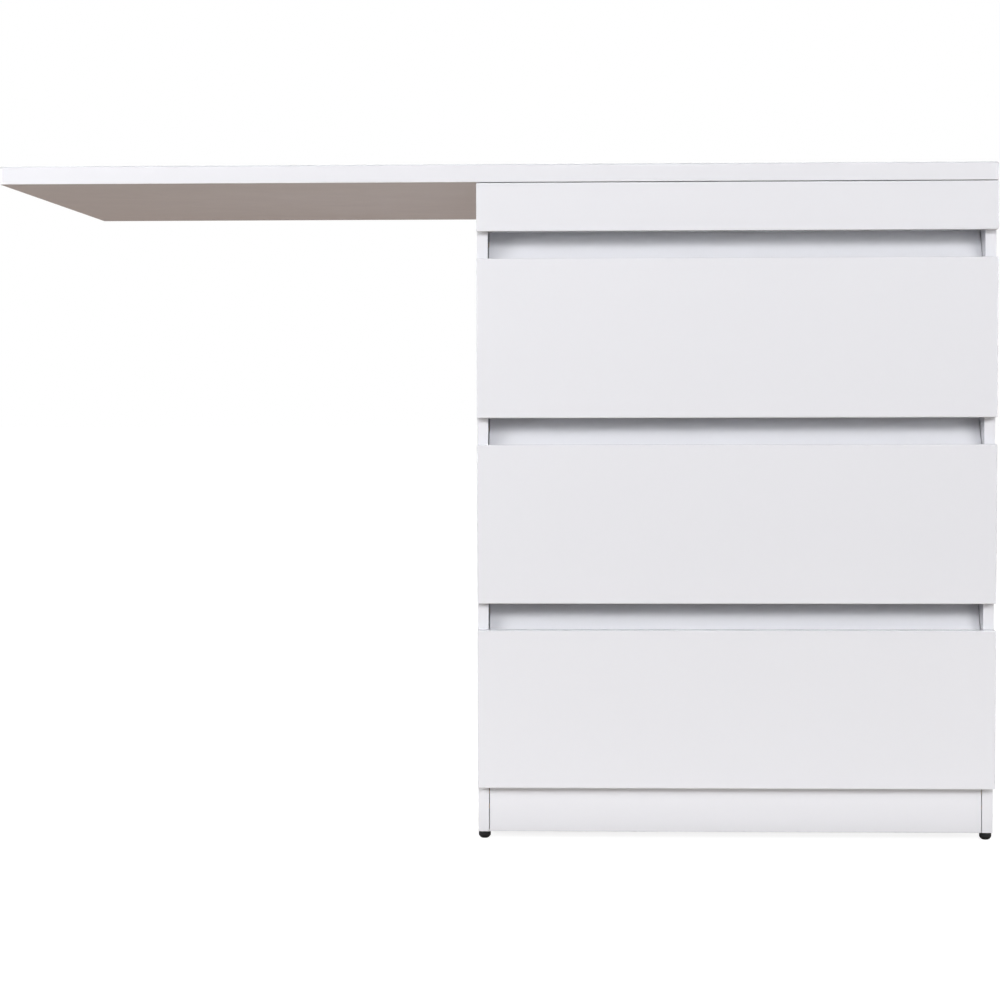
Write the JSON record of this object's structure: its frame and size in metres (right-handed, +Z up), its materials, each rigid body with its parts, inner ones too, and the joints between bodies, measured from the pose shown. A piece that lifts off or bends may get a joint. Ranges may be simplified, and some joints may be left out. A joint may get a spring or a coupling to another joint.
{
  "type": "corner desk",
  "caption": "White gloss desk: a long flat top over a pedestal of handle-less drawers at one end, with a free knee space under its projecting wing.",
  "frame": {"origin": "on the floor, under the middle of the top", "axes": "+X along the top towards the drawer end, -Y towards the user, +Z up"},
  "size_m": [1.1, 0.6, 0.75],
  "materials": {
    "white_gloss_board": "gloss lacquer",
    "white_hardboard": "matte paint",
    "white_painted_steel": "satin",
    "zinc_steel": "zinc plated",
    "white_nylon": "satin",
    "black_plastic": "satin",
    "beech": "matte"
  },
  "bodies": {
    "desk": {"back_panel": "white_hardboard", "bottom_panel": "white_gloss_board", "cabinet_runner_lower_left": "white_painted_steel", "cabinet_runner_lower_right": "white_painted_steel", "cabinet_runner_middle_left": "white_painted_steel", "cabinet_runner_middle_right": "white_painted_steel", "cabinet_runner_upper_left": "white_painted_steel", "cabinet_runner_upper_right": "white_painted_steel", "cam_fittings": "zinc_steel", "desktop": "white_gloss_board", "desktop_screws": "zinc_steel", "dowels": "beech", "foot_inserts": "zinc_steel", "frieze": "white_gloss_board", "grip_rail_lower": "white_gloss_board", "grip_rail_middle": "white_gloss_board", "grip_rail_upper": "white_gloss_board", "plinth": "white_gloss_board", "runner_screws": "zinc_steel", "side_panel_left": "white_gloss_board", "side_panel_right": "white_gloss_board", "top_rail_back": "white_gloss_board", "top_rail_front": "white_gloss_board"},
    "foot_back_left_body": {"foot_back_left": "black_plastic"},
    "foot_back_right_body": {"foot_back_right": "black_plastic"},
    "foot_front_left_body": {"foot_front_left": "black_plastic"},
    "foot_front_right_body": {"foot_front_right": "black_plastic"},
    "upper_drawer": {"drawer_upper_back": "white_gloss_board", "drawer_upper_bottom": "white_hardboard", "drawer_upper_cam_fittings": "zinc_steel", "drawer_upper_front": "white_gloss_board", "drawer_upper_runner_left": "white_painted_steel", "drawer_upper_runner_right": "white_painted_steel", "drawer_upper_runner_screws": "zinc_steel", "drawer_upper_side_left": "white_gloss_board", "drawer_upper_side_right": "white_gloss_board"},
    "upper_drawer_rollers": {"drawer_upper_rollers": "white_nylon"},
    "upper_cabinet_rollers": {"cabinet_upper_rollers": "white_nylon"},
    "middle_drawer": {"drawer_middle_back": "white_gloss_board", "drawer_middle_bottom": "white_hardboard", "drawer_middle_cam_fittings": "zinc_steel", "drawer_middle_front": "white_gloss_board", "drawer_middle_runner_left": "white_painted_steel", "drawer_middle_runner_right": "white_painted_steel", "drawer_middle_runner_screws": "zinc_steel", "drawer_middle_side_left": "white_gloss_board", "drawer_middle_side_right": "white_gloss_board"},
    "middle_drawer_rollers": {"drawer_middle_rollers": "white_nylon"},
    "middle_cabinet_rollers": {"cabinet_middle_rollers": "white_nylon"},
    "lower_drawer": {"drawer_lower_back": "white_gloss_board", "drawer_lower_bottom": "white_hardboard", "drawer_lower_cam_fittings": "zinc_steel", "drawer_lower_front": "white_gloss_board", "drawer_lower_runner_left": "white_painted_steel", "drawer_lower_runner_right": "white_painted_steel", "drawer_lower_runner_screws": "zinc_steel", "drawer_lower_side_left": "white_gloss_board", "drawer_lower_side_right": "white_gloss_board"},
    "lower_drawer_rollers": {"drawer_lower_rollers": "white_nylon"},
    "lower_cabinet_rollers": {"cabinet_lower_rollers": "white_nylon"}
  },
  "joints": [
    {"name": "upper_drawer_slide", "type": "slide", "parent": "desk", "child": "upper_drawer", "axis": [0, -1, 0], "range_m": [0, 0.375]},
    {"name": "middle_drawer_slide", "type": "slide", "parent": "desk", "child": "middle_drawer", "axis": [0, -1, 0], "range_m": [0, 0.375]},
    {"name": "lower_drawer_slide", "type": "slide", "parent": "desk", "child": "lower_drawer", "axis": [0, -1, 0], "range_m": [0, 0.375]},
    {"name": "upper_cabinet_rollers_spin", "type": "hinge", "parent": "desk", "child": "upper_cabinet_rollers", "pos_m": [0.264, -0.268, 0.5057], "axis": [1, 0, 0], "continuous": true},
    {"name": "upper_drawer_rollers_spin", "type": "hinge", "parent": "upper_drawer", "child": "upper_drawer_rollers", "pos_m": [0.264, 0.199, 0.5053], "axis": [1, 0, 0], "continuous": true},
    {"name": "middle_cabinet_rollers_spin", "type": "hinge", "parent": "desk", "child": "middle_cabinet_rollers", "pos_m": [0.264, -0.268, 0.3002], "axis": [1, 0, 0], "continuous": true},
    {"name": "middle_drawer_rollers_spin", "type": "hinge", "parent": "middle_drawer", "child": "middle_drawer_rollers", "pos_m": [0.264, 0.199, 0.2998], "axis": [1, 0, 0], "continuous": true},
    {"name": "lower_cabinet_rollers_spin", "type": "hinge", "parent": "desk", "child": "lower_cabinet_rollers", "pos_m": [0.264, -0.268, 0.0947], "axis": [1, 0, 0], "continuous": true},
    {"name": "lower_drawer_rollers_spin", "type": "hinge", "parent": "lower_drawer", "child": "lower_drawer_rollers", "pos_m": [0.264, 0.199, 0.0943], "axis": [1, 0, 0], "continuous": true},
    {"name": "foot_back_left_adjust", "type": "slide", "parent": "desk", "child": "foot_back_left_body", "axis": [0, 0, -1], "range_m": [-0.001, 0.01]},
    {"name": "foot_back_right_adjust", "type": "slide", "parent": "desk", "child": "foot_back_right_body", "axis": [0, 0, -1], "range_m": [-0.001, 0.01]},
    {"name": "foot_front_left_adjust", "type": "slide", "parent": "desk", "child": "foot_front_left_body", "axis": [0, 0, -1], "range_m": [-0.001, 0.01]},
    {"name": "foot_front_right_adjust", "type": "slide", "parent": "desk", "child": "foot_front_right_body", "axis": [0, 0, -1], "range_m": [-0.001, 0.01]}
  ],
  "couplings": [
    {"joint": "upper_cabinet_rollers_spin", "follows": "upper_drawer_slide", "rad_per_m": 93.458},
    {"joint": "upper_drawer_rollers_spin", "follows": "upper_drawer_slide", "rad_per_m": 93.458},
    {"joint": "middle_cabinet_rollers_spin", "follows": "middle_drawer_slide", "rad_per_m": 93.458},
    {"joint": "middle_drawer_rollers_spin", "follows": "middle_drawer_slide", "rad_per_m": 93.458},
    {"joint": "lower_cabinet_rollers_spin", "follows": "lower_drawer_slide", "rad_per_m": 93.458},
    {"joint": "lower_drawer_rollers_spin", "follows": "lower_drawer_slide", "rad_per_m": 93.458}
  ]
}
